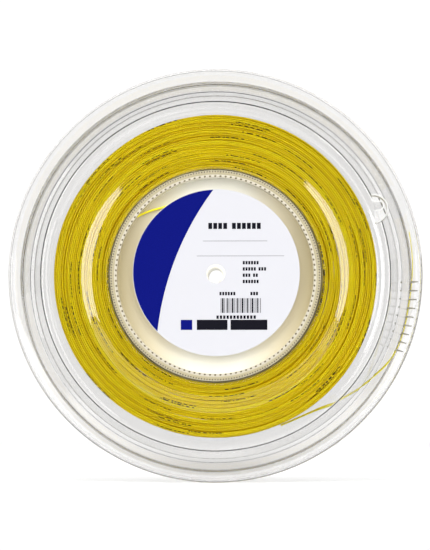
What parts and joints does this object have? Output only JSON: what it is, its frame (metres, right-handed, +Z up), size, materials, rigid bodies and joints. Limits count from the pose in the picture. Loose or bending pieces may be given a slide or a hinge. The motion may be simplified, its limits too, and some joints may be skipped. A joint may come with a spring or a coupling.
{
  "type": "tennis string reel",
  "caption": "Clear plastic reel of yellow tennis string: flanged drum, hub caps with a spindle bore, paper labels, flared rim with a comb for the free end and a flexible string clip.",
  "frame": {"origin": "middle of the spindle bore, half way between the two flanges", "axes": "Y along the spindle axis with the labelled front facing -Y, +Z up towards the label's top, +X to the right as seen from the front"},
  "size_m": [0.27, 0.036, 0.27],
  "materials": {
    "clear_plastic": "clear moulded polystyrene, glossy",
    "cream_plastic": "milky cream moulded plastic, satin gloss",
    "label_paper": "coated white paper with printed blue and black blocks",
    "string": "yellow polyester monofilament with dark printed dashes"
  },
  "bodies": {
    "reel": {"front_flange": "clear_plastic", "rear_flange": "clear_plastic", "core_drum": "cream_plastic", "front_hub_cap": "cream_plastic", "rear_hub_cap": "cream_plastic", "front_label": "label_paper", "rear_label": "label_paper", "string_winding": "string", "string_free_end": "string", "string_inner_end": "string"},
    "clip": {"clip_tongue": "clear_plastic"}
  },
  "joints": [
    {"name": "clip_flex", "type": "hinge", "parent": "reel", "child": "clip", "pos_m": [0.1034, -0.01125, 0.0437], "axis": [0.1392, 0, -0.9903], "range_deg": [0, 12], "stiffness_Nm_per_rad": 0.05}
  ]
}
